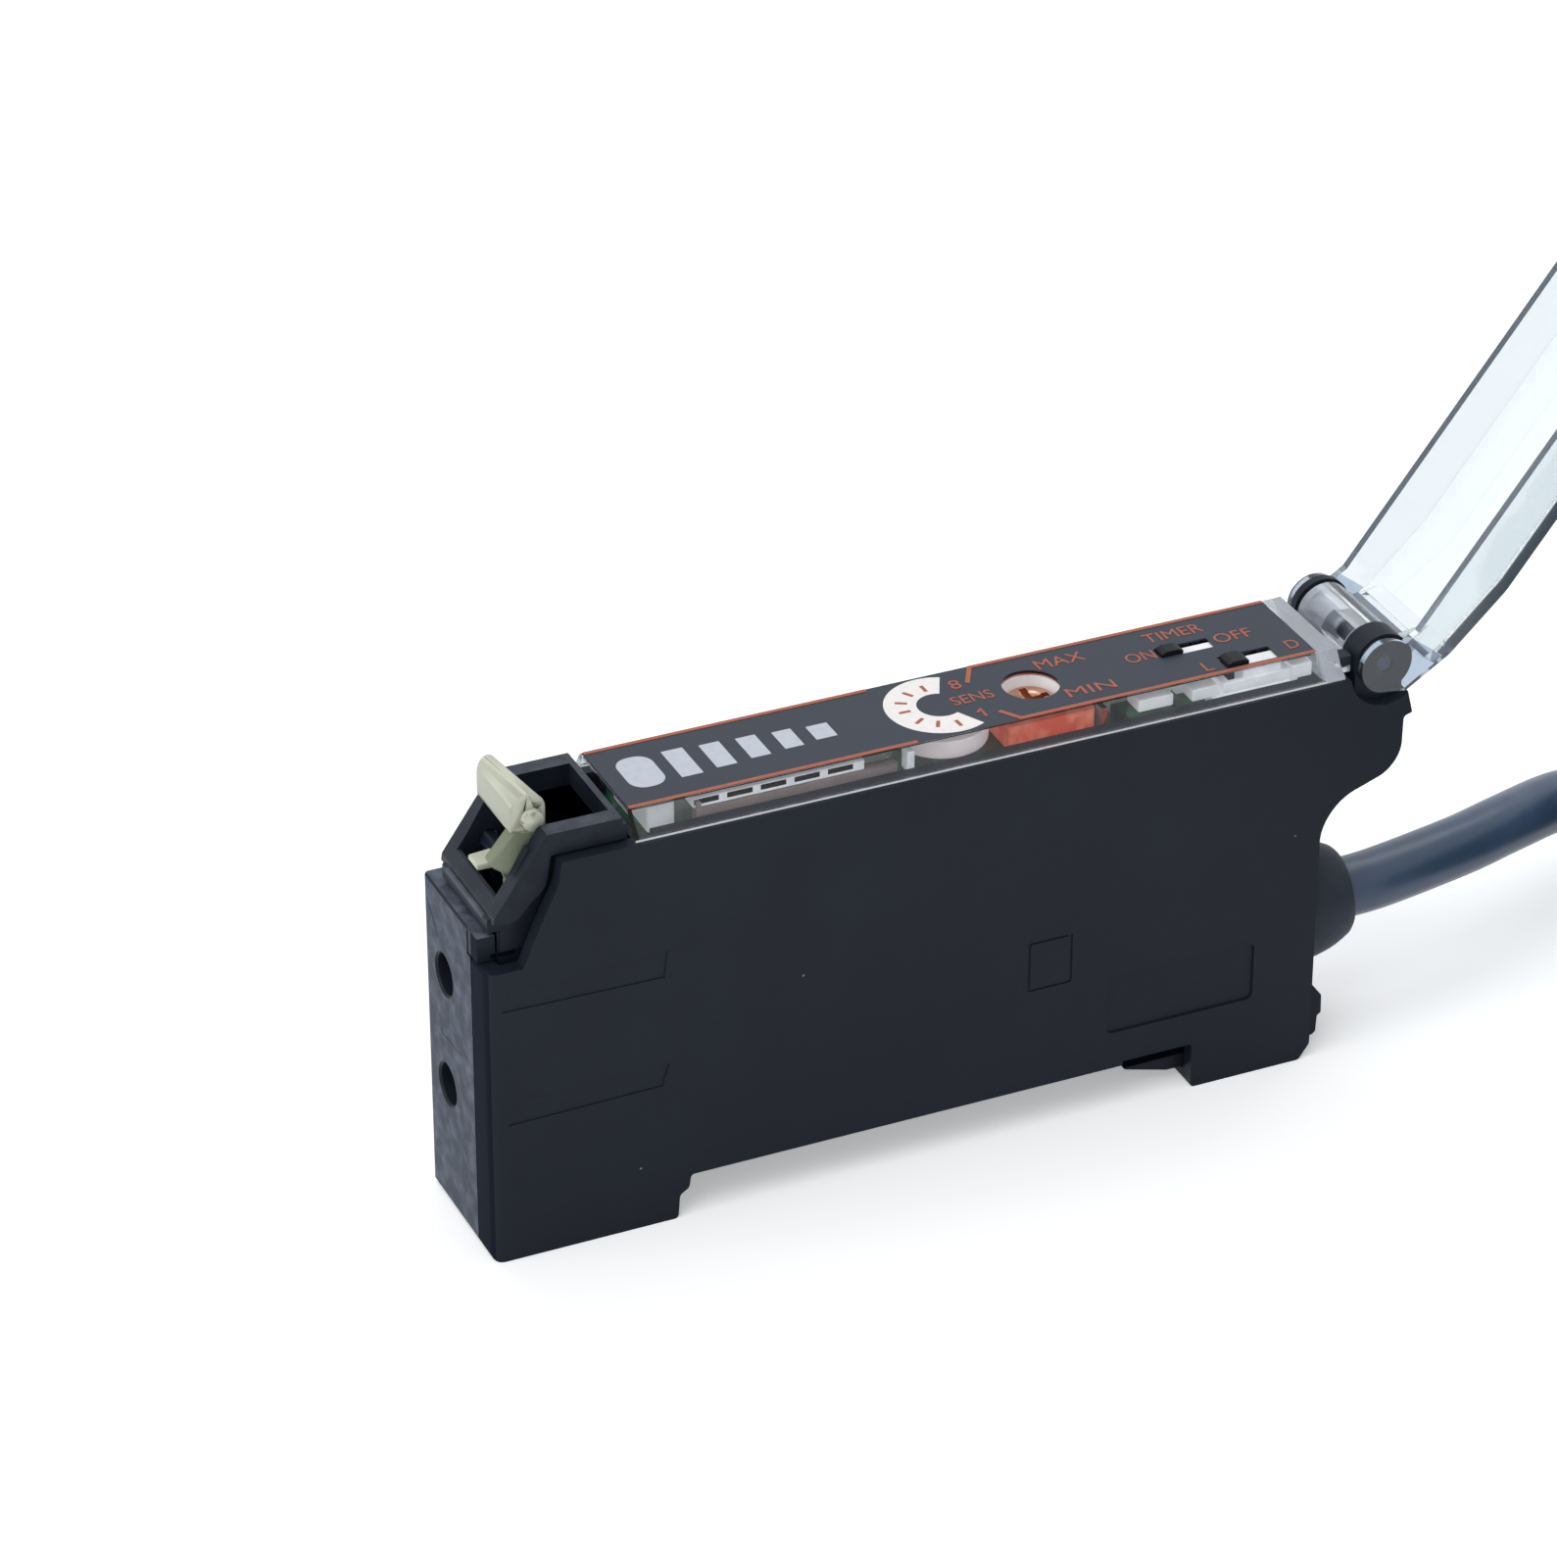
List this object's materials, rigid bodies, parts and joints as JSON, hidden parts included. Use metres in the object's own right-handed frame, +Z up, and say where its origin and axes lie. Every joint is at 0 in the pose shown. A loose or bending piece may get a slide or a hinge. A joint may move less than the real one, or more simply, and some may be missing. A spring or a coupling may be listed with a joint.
{
  "type": "fibre optic sensor amplifier",
  "caption": "Slim fibre optic sensor amplifier for a 35 mm rail, with a clear hinged cover, a fibre lock lever, an adjuster, slide switches and a moulded-in cable.",
  "frame": {"origin": "middle of the rail seat, the top face of the slot between the feet", "axes": "+X from the fibre face to the cable, +Y across the width, +Z up from the feet"},
  "size_m": [0.1358, 0.0564, 0.0673],
  "materials": {
    "case_plastic": "fine satin moulding",
    "housing_plastic": "satin moulding",
    "lever_plastic": "semi-gloss moulding",
    "clamp_steel": "stamped",
    "pin_steel": "drawn",
    "clear_plastic": "clear, polished",
    "dark_lens": "polished",
    "label_film": "printed film, matt",
    "circuit_board": "lacquered",
    "light_white": "translucent white",
    "orange_plastic": "moulded",
    "screw_brass": "turned",
    "dial_plastic": "moulded",
    "switch_plastic": "moulded",
    "knob_plastic": "moulded",
    "boot_rubber": "flexible moulding",
    "cable_jacket": "smooth satin jacket",
    "core_brown": "smooth insulation",
    "core_black": "smooth insulation",
    "core_blue": "smooth insulation"
  },
  "bodies": {
    "case": {"case_shell": "case_plastic", "side_cover": "case_plastic", "lever_housing": "housing_plastic", "hinge_pin": "pin_steel", "optics_block": "housing_plastic", "emitter_led": "clear_plastic", "receiver_diode": "dark_lens", "display_window": "clear_plastic", "label_panel": "label_film", "main_board": "circuit_board", "display_board": "circuit_board", "operation_led": "light_white", "level_led_1": "light_white", "level_led_2": "light_white", "level_led_3": "light_white", "level_led_4": "light_white", "level_led_5": "light_white", "adjuster_body": "orange_plastic", "timer_switch_body": "switch_plastic", "mode_switch_body": "switch_plastic", "cable_boot": "boot_rubber", "cable": "cable_jacket", "cable_coil": "cable_jacket", "core_brown": "core_brown", "core_black": "core_black", "core_blue": "core_blue"},
    "cover": {"protective_cover": "clear_plastic"},
    "lever": {"lock_lever": "lever_plastic"},
    "clamp": {"fibre_clamp": "clamp_steel"},
    "slider": {"rail_slider": "case_plastic"},
    "adjuster": {"adjuster_screw": "screw_brass"},
    "dial": {"indicator_dial": "dial_plastic"},
    "timer": {"timer_knob": "knob_plastic"},
    "mode": {"mode_knob": "knob_plastic"}
  },
  "joints": [
    {"name": "cover_hinge", "type": "hinge", "parent": "case", "child": "cover", "pos_m": [0.03045, 0, 0.0246], "axis": [0, -1, 0], "range_deg": [0, 127.7]},
    {"name": "lever_pivot", "type": "hinge", "parent": "case", "child": "lever", "pos_m": [-0.02645, 0, 0.0219], "axis": [0, 1, 0], "range_deg": [0, 50]},
    {"name": "clamp_slide", "type": "slide", "parent": "case", "child": "clamp", "axis": [0, 0, -1], "range_m": [0, 0.0008]},
    {"name": "slider_slide", "type": "slide", "parent": "case", "child": "slider", "axis": [1, 0, 0], "range_m": [0, 0.0044], "stiffness_N_per_m": 400},
    {"name": "adjuster_turn", "type": "hinge", "parent": "case", "child": "adjuster", "pos_m": [0.00815, 0, 0.02563], "axis": [0, 0, -1], "range_deg": [0, 2520]},
    {"name": "dial_turn", "type": "hinge", "parent": "case", "child": "dial", "pos_m": [0.00195, 0, 0.02488], "axis": [0, 0, -1], "range_deg": [0, 233.2]},
    {"name": "timer_slide", "type": "slide", "parent": "case", "child": "timer", "axis": [1, 0, 0], "range_m": [0, 0.0018]},
    {"name": "mode_slide", "type": "slide", "parent": "case", "child": "mode", "axis": [1, 0, 0], "range_m": [0, 0.0018]}
  ],
  "couplings": [
    {"joint": "lever_pivot", "follows": "clamp_slide", "rad_per_m": 1090.8},
    {"joint": "dial_turn", "follows": "adjuster_turn", "ratio": 0.0925}
  ]
}
